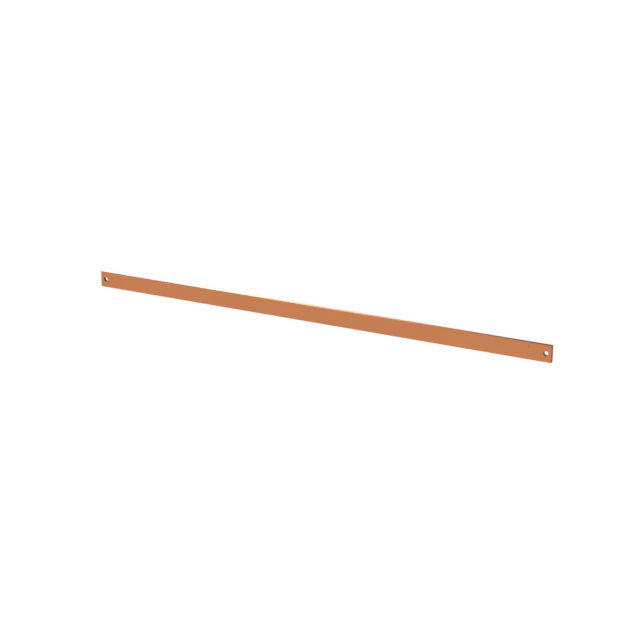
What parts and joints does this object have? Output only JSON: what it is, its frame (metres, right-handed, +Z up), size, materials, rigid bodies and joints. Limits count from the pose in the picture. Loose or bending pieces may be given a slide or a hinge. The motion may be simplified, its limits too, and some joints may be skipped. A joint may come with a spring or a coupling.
{
  "type": "copper busbar",
  "caption": "Flat copper bar that carries current between terminals, with a bolt hole near each end and a small flush steel pin beside each hole.",
  "frame": {"origin": "middle of the underside, the wide face that the bar lies on", "axes": "+X along the bar, +Y across its width towards the edge that the pins are near, +Z up through its thickness"},
  "size_m": [0.9, 0.03, 0.007],
  "materials": {
    "copper": "satin drawn copper",
    "pin_steel": "plain steel"
  },
  "bodies": {
    "root": {"copper_bar": "copper", "left_pin": "pin_steel", "right_pin": "pin_steel"}
  },
  "joints": []
}
